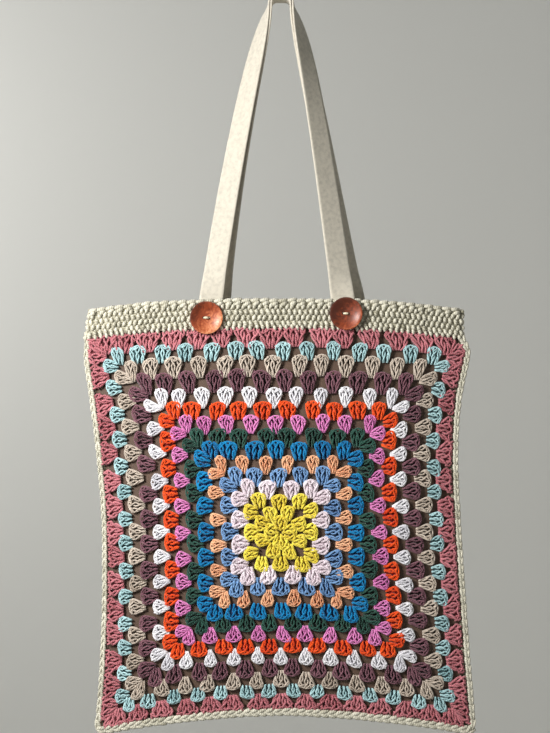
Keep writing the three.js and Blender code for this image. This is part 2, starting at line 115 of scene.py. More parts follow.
# Each colour: how many rounds it has, its height as a share of a plain round's, its colour as the
# photograph shows it, and how its clusters are made. Top and foot are a cluster's half width in
# half pitches, tuck and rise how far it reaches under the round before and over its own height,
# yarn is the strand's radius, and heart_shade how much painted shade darkens the yarn deep
# inside a cluster, standing in for the shade of the strands around it.
ROUNDS = [
    # name, rows, height, colour, top, foot, tuck, rise, yarn, heart_shade
    ("yellow", 3, 1, (244, 222, 82), 0.72, 0.38, 0.20, 1.0, 1.00, 0.50),
    ("pale_pink", 1, 1, (236, 220, 228), 0.74, 0.34, 0.40, 1.06, 1.2, 0.14),
    ("periwinkle", 1, 1, (122, 162, 208), 0.74, 0.32, 0.46, 1.02, 0.84, 0.74),
    ("peach", 1, 1, (244, 182, 142), 0.58, 0.22, 0.46, 0.96, 0.80, 0.66),
    ("blue", 1, 1, (0, 130, 186), 0.76, 0.42, 0.36, 1.02, 1.0, 0.54),
    ("green", 1, 1, (42, 84, 72), 0.74, 0.32, 0.44, 1.04, 0.86, 0.66),
    ("orchid", 1, 1, (226, 138, 198), 0.66, 0.20, 0.40, 1.0, 0.82, 0.72),
    ("orange", 1, 1, (238, 84, 20), 0.76, 0.40, 0.32, 1.02, 1.0, 0.54),
    ("white", 1, 1.1, (236, 234, 240), 0.62, 0.10, 0.46, 1.0, 0.92, 0.42),
    ("plum", 1, 1.2, (128, 86, 98), 0.72, 0.28, 0.42, 1.02, 0.84, 0.72),
    ("taupe", 1, 1.08, (204, 190, 176), 0.66, 0.24, 0.44, 1.02, 0.82, 0.74),
    ("aqua", 1, 0.98, (178, 212, 216), 0.64, 0.36, 0.34, 1.0, 0.82, 0.76),
    ("rose", 1, 1, (196, 122, 130), 1.00, 0.36, 0.44, 1.02, 1.08, 0.52),
]
# How far the middle clusters along the top sit to the left, as a share of their round's half
# side, and how much more those on the right do
TOP_DRIFT = 0.05
TOP_DRIFT_SKEW = 0.5

CREAM = (214, 210, 193)
THREAD_CREAM = (232, 222, 196)
# The lining cloth's brown, made darker than the cloth in light: partly painted shade between the
# clusters
LINING_BROWN_AND_SHADE = (97, 75, 61)
WEBBING_NATURAL = (214, 207, 192)
SHELL_BROWN = (152, 66, 32)
SHELL_COPPER = (200, 112, 70)
SHELL_PALE = (240, 172, 124)
ROOM_PAINT = (226, 226, 222)

# Half the distance from one cluster to the next
HALF_PITCH = 10.1

PANEL_HEIGHT = PANEL_RISE + PANEL_FALL
PANEL_CLIMB = PANEL_HEIGHT / (PANEL_HEIGHT + BAND_HEIGHT)
CENTRE_Z = -(HANDLE_DROP + BAND_HEIGHT + PANEL_RISE)
ROUND_COUNT = sum(row[1] for row in ROUNDS)
ROW_HEIGHTS = [row[2] for row in ROUNDS for _ in range(row[1])]
ROUND_EDGES = np.concatenate([[0], np.cumsum(ROW_HEIGHTS)]) / sum(ROW_HEIGHTS)


def smoothstep(value, low, high):
    share = np.clip((value - low) / (high - low), 0, 1)
    return share * share * (3 - 2 * share)


def crowded(share, crowding):
    return share - crowding * share * (1 - share)


def uncrowded(value, crowding):
    """The share that crowded turns into this value."""
    rest = 1 - crowding
    return (np.sqrt(np.maximum(rest**2 + 4 * crowding * value, 0)) - rest) / (2 * crowding)


def half_depth(side, across, climb):
    """Half the room inside the bag, at a share of its half width and of its height."""
    spread = 1 - np.minimum(np.abs(across), 1) ** SPREAD_BEND
    swell = (1 - (1 - climb) ** SWELL_BEND) * (1 - MOUTH_PINCH * climb**2)
    room = 1
    for at, height, radius, depth in DENTS[side]:
        room = room - depth * np.exp(-((across - at) ** 2 + (climb - height) ** 2) / radius**2)
    return SEAM_HALF_GAP + FULLNESS * spread * swell * room


def panel_point(side, across, up):
    """The x, z and half depth of a panel at shares from -1 to 1 of its width and height."""
    across, up = np.broadcast_arrays(np.asarray(across, float), np.asarray(up, float))
    left = across < 0
    above = np.clip(up / SHOULDER_PEAK, 0, 1) ** np.where(left, *SHOULDER_BEND)
    below = np.clip(-up, 0, 1) ** np.where(left, *FOOT_BEND)
    pull = smoothstep(up, SHOULDER_PEAK, 1) * np.where(left, *BAND_PULL)
    shoulder = np.where(left, *SHOULDER_FLARE) * above - pull
    slant = np.where(left, *SPREAD_UPWARDS) * up
    half_width = WAIST_HALF_WIDTH + slant + shoulder + np.where(left, *FOOT_FLARE) * below
    half_width = half_width + np.where(left, *SIDE_EASE)
    out = np.abs(across)
    rise = crowded(np.abs(up), TOP_CROWDING) * (PANEL_RISE - SHOULDER_DROP * out**SHOULDER_DROP_BEND)
    fall = crowded(np.abs(up), FOOT_CROWDING) * (PANEL_FALL + CORNER_SAG * out**CORNER_SAG_BEND)
    x = np.sign(across) * crowded(out, SIDE_CROWDING) * half_width
    z = CENTRE_Z + np.where(up < 0, -fall, rise)
    return x, z, half_depth(side, across, (up + 1) / 2 * PANEL_CLIMB)


def band_point(side, across, share):
    """The x, z and half depth of the band. Share 0 is its foot, and 1 its top."""
    x, z, _ = panel_point(side, across, np.ones_like(np.asarray(across, float)))
    climb = PANEL_CLIMB + (1 - PANEL_CLIMB) * share
    x = x - across * share * np.where(across < 0, *BAND_END_EASE)
    return x, z + share * BAND_HEIGHT, half_depth(side, across, climb)


def facing(side):
    return -1 if side == "front" else 1


def unit(vectors):
    return vectors / np.maximum(np.linalg.norm(vectors, axis=-1, keepdims=True), 1e-9)


def stations(path, spots):
    """The points of a path at lengths along it that are shares of its whole length."""
    length = np.concatenate([[0], np.cumsum(np.linalg.norm(np.diff(path, axis=0), axis=1))])
    even = spots * length[-1]
    return np.stack([np.interp(even, length, part) for part in path.T], axis=-1)


def path_length(path):
    return np.sum(np.linalg.norm(np.diff(path, axis=0), axis=1))


def strands_at(places, *moves):
    """Strands at places on a path. Each move is a direction and how far the points go in it."""
    strands = places[:, None]
    for direction, amount in moves:
        strands = strands + np.atleast_2d(direction)[:, None] * amount[..., None]
    return strands


def tapered(steps, thin, more, tip):
    """How thick a strand is along it: thin near its ends, and by so much more in its middle."""
    return thin + more * np.sin(math.pi * (tip + (1 - 2 * tip) * steps))


# Meshes


def linear(colour):
    """A colour as the photograph shows it, as a shader takes it."""
    value = np.array(colour, float) / 255
    straight = np.where(value <= 0.04045, value / 12.92, ((value + 0.055) / 1.055) ** 2.4)
    return (*(float(v) for v in straight), 1.0)


def make_mesh(name, points, faces, uv=None, tone=None):
    """A smooth mesh object from points in millimetres and lists of faces of one size each."""
    mesh = bpy.data.meshes.new(name)
    sizes = np.concatenate([np.full(len(f), f.shape[1]) for f in faces])
    loops = np.concatenate([f.reshape(-1) for f in faces])
    mesh.vertices.add(len(points))
    mesh.vertices.foreach_set("co", (np.asarray(points) * MM).astype(np.float32).ravel())
    mesh.loops.add(len(loops))
    mesh.loops.foreach_set("vertex_index", loops.astype(np.int32))
    mesh.polygons.add(len(sizes))
    starts = np.concatenate([[0], np.cumsum(sizes)[:-1]])
    mesh.polygons.foreach_set("loop_start", starts.astype(np.int32))
    mesh.polygons.foreach_set("use_smooth", np.ones(len(sizes), bool))
    if uv is not None:
        layer = mesh.uv_layers.new(name="yarn")
        layer.data.foreach_set("uv", np.concatenate(uv).astype(np.float32).ravel())
    # The tone attribute holds each strand's random tone, and painted shade on strands that lie in shade
    if tone is not None:
        attribute = mesh.attributes.new("tone", "FLOAT", "POINT")
        attribute.data.foreach_set("value", tone.astype(np.float32))
    mesh.update(calc_edges=True)
    mesh.validate()
    piece = bpy.data.objects.new(name, mesh)
    bpy.context.scene.collection.objects.link(piece)
    return piece


# A direction that no strand runs in, to find the first one across it
ASKEW = np.array([0.02, 1.0, 0.01])
# The yarn's pattern starts at a place of its own on each strand, up to so many millimetres on
PATTERN_START = 40
# How unevenly toned stitches are, and the strands of one stitch
UNEVEN_TONE = 0.05
UNEVEN_STRAND_TONE = 0.03


class YarnPile:
    """Strands of yarn gathered into one mesh. Every strand is a closed tube along its path."""

    def __init__(self, sides=5):
        self.sides = sides
        self.points = []
        self.tones = []
        self.quads = []
        self.caps = []
        self.quad_uv = []
        self.cap_uv = []
        self.count = 0

    def lay(self, paths, radius, tone=0.0, flatten=1.0):
        """Lays tubes along paths of shape (strands, steps, 3). Radius may change along them, and
        flatten below 1 makes them thinner through the bag than along it."""
        strands, steps, _ = paths.shape
        run = unit(np.gradient(paths, axis=1))
        radius = np.broadcast_to(np.asarray(radius, float), (strands, steps))
        side = np.cross(run[:, 0], ASKEW)
        frames = []
        for step in range(steps):
            side = side - run[:, step] * np.sum(side * run[:, step], axis=1, keepdims=True)
            side = unit(side)
            frames.append((side, np.cross(run[:, step], side)))
        across = np.stack([f[0] for f in frames], axis=1)
        above = np.stack([f[1] for f in frames], axis=1)
        turn = np.arange(self.sides) / self.sides * 2 * math.pi
        ring = (
            across[:, :, None] * np.cos(turn)[None, None, :, None]
            + above[:, :, None] * np.sin(turn)[None, None, :, None] * flatten
        )
        points = paths[:, :, None] + ring * radius[:, :, None, None]
        start = self.count + np.arange(strands) * steps * self.sides
        here = np.arange(self.sides)
        there = (here + 1) % self.sides
        rows = np.arange(steps - 1)[:, None] * self.sides
        beyond = rows + self.sides
        quad = np.stack([rows + here, rows + there, beyond + there, beyond + here], axis=-1)
        quads = start[:, None, None] + quad.reshape(1, -1, 4)
        self.quads.append(quads.reshape(-1, 4))
        foot = start[:, None] + here[::-1]
        top = start[:, None] + (steps - 1) * self.sides + here
        self.caps.append(np.concatenate([foot, top]))
        length = np.linalg.norm(np.diff(paths, axis=1), axis=2)
        along = np.concatenate([np.zeros((strands, 1)), np.cumsum(length, axis=1)], axis=1)
        along = along + random.uniform(0, PATTERN_START, (strands, 1))
        shape = (strands, steps - 1, self.sides)
        low = np.broadcast_to(along[:, :-1, None], shape)
        high = np.broadcast_to(along[:, 1:, None], shape)
        near = np.broadcast_to(here / self.sides, shape)
        far = np.broadcast_to((here + 1) / self.sides, shape)
        corners = [(near, low), (far, low), (far, high), (near, high)]
        uv = np.stack([np.stack(c, axis=-1) for c in corners], axis=-2)
        self.quad_uv.append(uv.reshape(-1, 2))
        self.cap_uv.append(np.zeros((2 * strands * self.sides, 2)))
        tone = np.broadcast_to(tone, (strands,))
        self.tones.append(np.repeat(tone, steps * self.sides))
        self.points.append(points.reshape(-1, 3))
        self.count += strands * steps * self.sides

    def make(self, name, material):
        piece = make_mesh(
            name,
            np.concatenate(self.points),
            [np.concatenate(self.quads), np.concatenate(self.caps)],
            uv=self.quad_uv + self.cap_uv,
            tone=np.concatenate(self.tones),
        )
        piece.data.materials.append(material)
        return piece


def grid_faces(rows, columns, is_ring=False):
    """The quads of a grid of points, row by row. A ring joins its last column to its first."""
    row = np.arange(rows - 1)[:, None] * columns
    here = np.arange(columns if is_ring else columns - 1)
    there = (here + 1) % columns
    corners = [row + here, row + there, row + columns + there, row + columns + here]
    return np.stack(corners, axis=-1).reshape(-1, 4)


def select_only(piece):
    """Selects one piece alone and makes it active."""
    bpy.ops.object.select_all(action="DESELECT")
    bpy.context.view_layer.objects.active = piece
    piece.select_set(True)


def recalculate_normals(piece):
    """Turns every face of a closed mesh outwards."""
    select_only(piece)
    bpy.ops.object.mode_set(mode="EDIT")
    bpy.ops.mesh.select_all(action="SELECT")
    bpy.ops.mesh.normals_make_consistent(inside=False)
    bpy.ops.object.mode_set(mode="OBJECT")
    piece.select_set(False)


# Materials


class Finish:
    """A material with one main shader and short ways to add nodes to it."""

    def __init__(self, name, colour, roughness, **values):
        self.material = bpy.data.materials.new(name)
        self.material.use_nodes = True
        self.tree = self.material.node_tree
        self.shader = self.tree.nodes["Principled BSDF"]
        self.give("Base Color", linear(colour))
        self.give("Roughness", roughness)
        for socket, value in values.items():
            self.give(socket.replace("_", " "), value)

    def feed(self, socket, value):
        """Links a socket to another node's output, or gives it a value of its own."""
        if isinstance(value, bpy.types.NodeSocket):
            self.tree.links.new(value, socket)
        else:
            socket.default_value = value

    def give(self, name, value):
        self.feed(self.shader.inputs[name], value)

    def node(self, kind, **inputs):
        made = self.tree.nodes.new(kind)
        for name, value in inputs.items():
            self.feed(made.inputs[name.replace("_", " ")], value)
        return made

    def math(self, operation, first, second=0.0):
        made = self.tree.nodes.new("ShaderNodeMath")
        made.operation = operation
        self.feed(made.inputs[0], first)
        self.feed(made.inputs[1], second)
        return made.outputs[0]

    def total(self, *parts):
        """The sum of some outputs, each given with its weight."""
        whole = None
        for output, weight in parts:
            part = output if weight == 1 else self.math("MULTIPLY", output, weight)
            whole = part if whole is None else self.math("ADD", whole, part)
        return whole

    def wave(self, along, pitch):
        return self.math("SINE", self.math("MULTIPLY", along, 2 * math.pi / pitch))

    def coordinates(self, kind):
        return self.tree.nodes.new("ShaderNodeTexCoord").outputs[kind]

    def across_and_along(self):
        return self.node("ShaderNodeSeparateXYZ", Vector=self.coordinates("UV")).outputs[:2]

    def attribute(self, name):
        made = self.tree.nodes.new("ShaderNodeAttribute")
        made.attribute_name = name
        return made.outputs["Fac"]

    def noise(self, scale, detail=2.0, distortion=0.0):
        place = self.coordinates("Object")
        made = self.node("ShaderNodeTexNoise", Vector=place, Scale=scale, Detail=detail)
        made.inputs["Distortion"].default_value = distortion
        return made.outputs["Fac"]

    def colour_by(self, factor, *stops):
        """Colours the shader by a ramp over a factor."""
        made = self.node("ShaderNodeValToRGB", Fac=factor)
        while len(made.color_ramp.elements) < len(stops):
            made.color_ramp.elements.new(0.5)
        for element, (place, colour) in zip(made.color_ramp.elements, stops):
            element.position = place
            element.color = colour
        self.give("Base Color", made.outputs["Color"])

    def bump(self, height, strength, distance):
        made = self.node("ShaderNodeBump", Height=height, Strength=strength, Distance=distance)
        self.give("Normal", made.outputs["Normal"])


def tinted(colour, factor):
    return tuple(min(1.0, c * factor) for c in colour[:3]) + (1.0,)


def painted_shade_colour(colour, factor):
    """A colour as painted shade shows it between strands: darker, and stronger in its own hue."""
    return tuple(factor * c**1.7 for c in colour[:3]) + (1.0,)


def yarn_material(name, colour):
    """Matt cotton yarn: plied, with a little fuzz, and each strand a shade of its own."""
    finish = Finish(name, colour, 0.85, Sheen_Weight=0.25, Sheen_Roughness=0.5, Specular_IOR_Level=0.25)
    base = linear(colour)
    around, along = finish.across_and_along()
    ply = finish.math("ABSOLUTE", finish.wave(finish.total((around, 2), (along, 0.55)), pitch=2))
    fuzz = finish.noise(scale=2600, detail=3.0)
    blotch = finish.noise(scale=260)
    tone = finish.attribute("tone")
    # The two dark stops are painted shade between strands, reached mostly where the tone attribute
    # carries shade; the top stop is partly painted highlight
    finish.colour_by(
        finish.total((fuzz, 0.35), (ply, 0.3), (blotch, 0.35), (tone, 1)),
        (0.0, painted_shade_colour(base, 0.18)),
        (0.3, painted_shade_colour(base, 0.75)),
        (0.55, base),
        (0.85, tinted(base, 1.3)),
    )
    finish.bump(finish.total((ply, 0.7), (fuzz, 0.4)), strength=0.6, distance=0.0003)
    return finish.material


def lining_material():
    """Smooth brown cloth with a fine weave and a soft sheen."""
    finish = Finish("lining_cloth", LINING_BROWN_AND_SHADE, 0.6, Sheen_Weight=0.15)
    base = linear(LINING_BROWN_AND_SHADE)
    across, along = finish.across_and_along()
    weave = finish.math("MULTIPLY", finish.wave(across, pitch=0.45), finish.wave(along, pitch=0.45))
    slub = finish.noise(scale=60, detail=3.0)
    shade = finish.total((weave, 0.12), (slub, 1))
    finish.colour_by(shade, (0.2, tinted(base, 0.82)), (0.8, tinted(base, 1.15)))
    finish.bump(weave, strength=0.25, distance=0.0001)
    return finish.material


def webbing_material():
    """Natural cotton webbing: a slanting twill, a woven selvedge at each side, and a few slubs."""
    finish = Finish("webbing_twill", WEBBING_NATURAL, 0.85, Sheen_Weight=0.2, Specular_IOR_Level=0.25)
    base = linear(WEBBING_NATURAL)
    across, along = finish.across_and_along()
    zigzag = finish.math("PINGPONG", across, WEBBING_WIDTH / 8)
    twill = finish.wave(finish.total((zigzag, 1), (along, 1)), pitch=1.25)
    rib = finish.wave(across, pitch=0.8)
    from_middle = finish.math("ABSOLUTE", finish.math("SUBTRACT", across, WEBBING_WIDTH / 2))
    selvedge = finish.math("GREATER_THAN", from_middle, WEBBING_WIDTH / 2 - SELVEDGE)
    thread = finish.total((twill, 0.6), (rib, 0.4))
    slub = finish.noise(scale=320, detail=3.0)
    shade = finish.total((thread, 0.12), (slub, 1), (selvedge, 0.12))
    finish.colour_by(shade, (0.25, tinted(base, 0.8)), (0.55, base), (0.85, tinted(base, 1.08)))
    finish.bump(finish.total((thread, 1), (selvedge, 0.8)), strength=0.5, distance=0.00025)
    return finish.material


def button_material():
    """Polished shell or coconut, copper brown, with swirled darker streaks. The painted_light_and_tone
    attribute is painted light: the shell is paler towards the edge of the disc that faces the lamp,
    and it is paler or darker as a whole on each button."""
    finish = Finish("polished_shell", SHELL_BROWN, 0.22, Coat_Weight=0.2, Coat_Roughness=0.3)
    base = linear(SHELL_BROWN)
    swirl = finish.noise(scale=150, detail=5.0, distortion=2.6)
    grain = finish.noise(scale=900, detail=3.0)
    shade = finish.total((swirl, 0.62), (grain, 0.2), (finish.attribute("painted_light_and_tone"), 1))
    finish.colour_by(
        shade,
        (0.16, tinted(base, 0.28)),
        (0.4, base),
        (0.56, linear(SHELL_COPPER)),
        (0.72, linear(SHELL_PALE)),
    )
    gloss = finish.node("ShaderNodeMapRange", Value=swirl, To_Min=0.36, To_Max=0.56)
    finish.give("Roughness", gloss.outputs[0])
    finish.bump(shade, strength=0.4, distance=0.0005)
    return finish.material


# The crochet panels

# Nothing is laid nearer to the square's middle than this, in half pitches
NEAREST_OUT = 0.03
# How far out the yarn may reach, as a share of the panel's half width
FARTHEST = 1.03
# The height at which a cluster is widest, as a share of its own, and how much it closes above it
WIDEST = 0.7
CLOSING = 0.3
JOINED_CLOSING = 0.06
# Clusters at a corner stand back from it, lean to it, lie further out and are narrower. Those that
# are as wide as their places are called joined, and lean more
CORNER_BACK = 0.42
CORNER_OUT = 0.06
CORNER_LEAN = 0.16
JOINED_CORNER_LEAN = 0.34
CORNER_SHRINK = 0.16
# How far the first round's clusters stand out from the middle
FIRST_OUT = 0.32
# How much further the last round reaches: to the band at the top, and to the braid elsewhere
LAST_REACH = (0.1, 0.24)
# How uneven the hand is: along the side, outwards, in lean, in width and in slope
UNEVEN_ALONG = 0.06
UNEVEN_OUT = 0.04
UNEVEN_LEAN = 0.09
UNEVEN_WIDTH = 0.05
UNEVEN_SLOPE = 0.07
CORE_WIDTH = 0.86
CORE_FLATNESS = 0.16
# Where the core starts and ends, as shares of the cluster's height
CORE_ENDS = (0.06, 0.86)
# How far off the panel's base a part lies, and how much further its highest part does
CORE_LIFT = (0.7, 0.4)
POST_LIFT = (1.5, 0.9)
OVER_LIFT = (1.6, 0.9)
CHAIN_LIFT = (3.0, 0.45)
# How far a post's plies go in and out, and how much further off a middle post stands
PLY_LIFT = 0.6
MIDDLE_LIFT = 0.3
# How often the two plies of a post turn round each other
POST_TURNS = 1.15
POST_STEPS = 8
# The radius of the loop over a cluster and of the chain along its top, as shares of a post's
OVER_YARN = 0.8
CHAIN_YARN = 0.74


def on_panel(side, turn, along, out, lift):
    """Points of a panel from places on one of its four sides: along and out in half pitches from
    the square's centre, and lift in millimetres off its base. Along a side the pitch is even."""
    out = np.maximum(out, NEAREST_OUT)
    size = np.interp(out, np.arange(ROUND_COUNT + 1), ROUND_EDGES)
    last = ROUND_EDGES[-1] - ROUND_EDGES[-2]
    # Yarn may lie past the edge, but not at the top, where the band is
    size = size + np.where(turn == 0, 0, np.maximum(out - ROUND_COUNT, 0) * last)
    share = along / out
    wide = crowded(size, SIDE_CROWDING)
    across = np.sign(share) * uncrowded(np.abs(share) * wide, SIDE_CROWDING)
    full_rise = PANEL_RISE - SHOULDER_DROP * size**SHOULDER_DROP_BEND
    full_fall = PANEL_FALL + CORNER_SAG * size**CORNER_SAG_BEND
    high = crowded(size, TOP_CROWDING) * full_rise
    low = crowded(size, FOOT_CROWDING) * full_fall
    level = (high - low) / 2 + (high + low) / 2 * np.where(turn == 3, share, -share)
    rise = uncrowded(np.maximum(level, 0) / full_rise, TOP_CROWDING)
    fall = uncrowded(np.maximum(-level, 0) / full_fall, FOOT_CROWDING)
    x_share = np.choose(turn, [across, size, -across, -size])
    z_share = np.choose(turn, [size, rise - fall, -size, rise - fall])
    x, z, depth = panel_point(side, np.clip(x_share, -FARTHEST, FARTHEST), z_share)
    return np.stack([x, facing(side) * (depth + CROCHET_NEAR + lift), z], axis=-1)


def cluster_places(row):
    """Where the clusters of one round stand: their side, place along it, and lean to a corner."""
    places = []
    for turn in range(4):
        for i in range(row):
            lean = 0 if row == 1 else (i == row - 1) - (i == 0)
            places.append((turn, 2 * i - (row - 1), lean))
    return np.array(places, float)


def cluster_width(share, top, foot):
    """Half a cluster's width at a share of its height: it opens like a tulip and closes again,
    unless it is as wide as its place and joins its neighbours."""
    opening = np.clip(share / WIDEST, 0, 1) ** 0.8
    closing = JOINED_CLOSING if top >= 1 else CLOSING
    closed = 1 - closing * np.clip((share - WIDEST) / (1 - WIDEST), 0, 1) ** 2
    return (foot + (top - foot) * opening) * closed


def add_clusters(pile, side, row, style):
    """One round's clusters: a soft core in painted shade, double posts, a loop and a chain over them.
    """
    top, foot, tuck, rise, yarn, heart_shade = style
    joined = top >= 1
    places = cluster_places(row)
    count = len(places)
    turn = places[:, 0].astype(int)[:, None, None]
    shake = random.normal(0, 1, (8, count, 1, 1))
    along_shake, lean_shake, width_shake, out_shake = shake[:4]
    twist_shake, loop_shake, slope_shake, spin_shake = shake[4:]
    tone = random.normal(0, UNEVEN_TONE, count)
    corner = places[:, 2][:, None, None]
    middle = places[:, 1][:, None, None] - CORNER_BACK * corner + UNEVEN_ALONG * along_shake
    drift = TOP_DRIFT * (row - middle**2 / row) * (1 + TOP_DRIFT_SKEW * middle / row)
    middle = middle - np.where(turn == 0, drift, 0)
    lean = corner * (JOINED_CORNER_LEAN if joined else CORNER_LEAN) + UNEVEN_LEAN * lean_shake
    shrink = 0 if joined else CORNER_SHRINK
    size = (1 + UNEVEN_WIDTH * width_shake) * (1 - shrink * np.abs(corner))
    base_out = row - 1 + UNEVEN_OUT * out_shake + CORNER_OUT * np.abs(corner)
    if row == 1:
        base_out = base_out + FIRST_OUT
    if row == ROUND_COUNT:
        rise = rise + np.where(turn == 0, *LAST_REACH)
    # A wider cluster is a little taller too
    stretch = 0.97 + 0.03 * size

    def place(across, share, lift):
        """Strands by their half pitches across, share of the cluster's height, and lift."""
        along = middle + across * size + lean * np.clip(share, 0, 1)
        out = base_out + (-tuck + share * (rise + tuck)) * stretch
        out = out + UNEVEN_SLOPE * slope_shake * across
        sides = np.broadcast_to(turn, along.shape)
        points = on_panel(side, sides, along, out, lift)
        return points.reshape(-1, points.shape[-2], 3)

    share = np.linspace(*CORE_ENDS, 6)[None, None, :]
    lift = CORE_LIFT[0] + CORE_LIFT[1] * share
    core = place(0 * share, share + 0 * size, lift + 0 * size)
    half = cluster_width(share[0], top, foot) * CORE_WIDTH * HALF_PITCH * np.ones((count, 1))
    # Painted shade: heart_shade darkens the core, deep inside the cluster
    pile.lay(core, half, tone - heart_shade, flatten=CORE_FLATNESS)

    # The posts, each of two plies that turn round one another and stand off as they rise
    share = np.linspace(0, 0.95, POST_STEPS)[None, None, :]
    posts = 4 if joined else 3
    post = np.linspace(-1, 1, posts)[None, :, None]
    spin = np.resize([1.0, -1.0], posts)[None, :, None] * np.sign(spin_shake + 0.6)
    weave = min(top, WIDEST) * (0.5 + 2.0 * np.clip(share / WIDEST, 0, 1)) / HALF_PITCH
    swell = yarn * tapered(np.linspace(0, 1, POST_STEPS), 0.76, 0.2, 0.05)
    for ply in (0, math.pi):
        twist = ply + spin * (0.9 * post + 0.5 * twist_shake + share * 2 * math.pi * POST_TURNS)
        spread = cluster_width(share, top, foot) - weave - 0.62 * yarn / HALF_PITCH
        across = post * np.maximum(spread, 0.06) + weave * np.cos(twist)
        climb = np.sin(np.clip(share * 1.2, 0, 1) * math.pi / 2)
        lift = POST_LIFT[0] + POST_LIFT[1] * climb + PLY_LIFT * np.sin(twist)
        lift = lift + MIDDLE_LIFT * (1 - np.abs(post)) * np.sin(math.pi * share)
        tones = np.repeat(tone, posts) + random.normal(0, UNEVEN_TONE, posts * count)
        pile.lay(place(across, share + 0 * post, lift), swell, tones)

    if not joined:
        # A loop up one side, over the top and down the other, where clusters stand apart
        turnover = np.linspace(-1, 1, 15)[None, None, :]
        height = 0.98 - 0.98 * np.abs(turnover) ** 1.9
        width = cluster_width(height, top, foot) - 0.6 * yarn / HALF_PITCH
        across = np.sign(turnover) * width * np.clip(np.abs(turnover) / 0.42, 0, 1) ** 0.8
        lift = OVER_LIFT[0] + OVER_LIFT[1] * np.abs(height) + 0.12 * loop_shake
        tones = tone + 0.08 + random.normal(0, UNEVEN_STRAND_TONE, count)
        pile.lay(place(across, height, lift), yarn * OVER_YARN, tones)

    # The chain strand along the top
    run = np.linspace(-1, 1, 10)[None, None, :]
    cross = run * 2.2 * math.pi / 2 + 0.8 * twist_shake
    across = run * (cluster_width(0.8, top, foot) - 0.4 * yarn / HALF_PITCH)
    height = 0.92 - 0.17 * np.abs(run) ** 2.2 - 0.075 * (1 + np.cos(cross * 2))
    lift = CHAIN_LIFT[0] + CHAIN_LIFT[1] * np.sin(cross * 2) - 0.9 * np.abs(run) ** 3
    tones = tone + random.normal(0, UNEVEN_STRAND_TONE, count)
    pile.lay(place(across, height, lift), yarn * CHAIN_YARN, tones)


def make_panel(side, materials):
    row = 0
    for name, rows, _, _, *style in ROUNDS:
        pile = YarnPile()
        for _ in range(rows):
            row += 1
            add_clusters(pile, side, row, style)
        piece = pile.make(f"{side}_crochet_{name}", materials[name])
        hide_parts(f"{side}_round_{name}")
        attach(piece, "root")


# The lining

LINING_COLUMNS = 73
LINING_ROWS = 81
ROWS_IN_BAND = 4
# How far off the inside the cloth's two faces lie
LINING_FACES = (0.1, 0.7)


def make_lining(side, material):
    """One lining wall: a fine sheet over the whole panel and up inside the band, 0.6 mm thick."""
    across = np.linspace(-1, 1, LINING_COLUMNS)
    ups = np.linspace(-1, 1, LINING_ROWS)
    rows = [panel_point(side, across, np.full_like(across, up)) for up in ups]
    top = 1 - LINING_BELOW_TOP / BAND_HEIGHT
    shares = np.linspace(0, top, ROWS_IN_BAND + 1)[1:]
    rows += [band_point(side, across, share) for share in shares]
    x, z, depth = (np.stack([row[i] for row in rows]) for i in range(3))
    layers = []
    for off in LINING_FACES:
        y = facing(side) * (depth + off)
        layers.append(np.stack([x, y, z], axis=-1).reshape(-1, 3))
    count = len(layers[0])
    columns = len(across)
    sheet = grid_faces(len(rows), columns)
    if side == "front":
        sheet = sheet[:, ::-1]
    rim = np.concatenate(
        [
            np.arange(columns),
            np.arange(1, len(rows)) * columns + columns - 1,
            (len(rows) - 1) * columns + np.arange(columns - 2, -1, -1),
            np.arange(len(rows) - 2, 0, -1) * columns,
        ]
    )
    after = np.roll(rim, -1)
    walls = np.stack([rim, after, after + count, rim + count], axis=-1)
    if side == "front":
        walls = walls[:, ::-1]
    faces = np.concatenate([sheet, sheet[:, ::-1] + count, walls])
    points = np.concatenate(layers)
    flat = np.concatenate([np.stack([x, z], axis=-1).reshape(-1, 2)] * 2)
    piece = make_mesh(f"{side}_lining_cloth", points, [faces], uv=[flat[faces.reshape(-1)]])
    piece.data.materials.append(material)
    recalculate_normals(piece)
    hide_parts(f"lining_{side}")
    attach(piece, "root")


# The band round the mouth

BAND_ROWS = 4
# The stitches, the chain and the beads at the foot: from one to the next, and the yarn's radius
BAND_STITCH = 4.5
STITCH_RADIUS = 1.6
BAND_CHAIN = 7.6
CHAIN_RADIUS = 1.85
BAND_BEAD = 4.8
BEAD_RADIUS = 1.35
# In how many places a length round the band is measured
GIRTH_STEPS = 400
BAND_WALL_NEAR = CROCHET_NEAR + 0.2
BAND_WALL_FAR = CROCHET_NEAR + 2.0
# How far the band's rows, its chain and its backing end below its top
ROWS_BELOW_TOP = 6.4
CHAIN_BELOW_TOP = 3.6
BACKING_BELOW_TOP = 2.2
# The stitches lean one way in one row, and the other way in the row that is worked back
STITCH_LEAN = (-0.2, 0.3)


def collar_path(share, wall, count, phase=0.0):
    """Points round the band at one height, in its length from the left end of the front, with the
    direction that points out of the bag. Phase starts them a part of a step further on."""
    across = np.linspace(-1, 1, 200)
    ends = np.radians(np.linspace(-75, 75, 9))
    reach = wall - CROCHET_NEAR + 1.2
    parts = []
    for side, way in (("front", 1), ("back", -1)):
        x, z, depth = band_point(side, way * across, share)
        parts.append(np.stack([x, facing(side) * (depth + wall), z], axis=-1))
        # Then round the end that this wall leads to
        round_x = x[-1] + way * reach * np.cos(ends)
        round_y = way * (SEAM_HALF_GAP + wall) * np.sin(ends)
        parts.append(np.stack([round_x, round_y, z[-1] + 0 * ends], axis=-1))
    closed = np.concatenate([*parts, parts[0][:1]])
    places = stations(closed, (np.arange(count) + phase) / count)
    run = unit(np.roll(places, -1, axis=0) - np.roll(places, 1, axis=0))
    return places, run, unit(np.cross(run, UP)), path_length(closed)


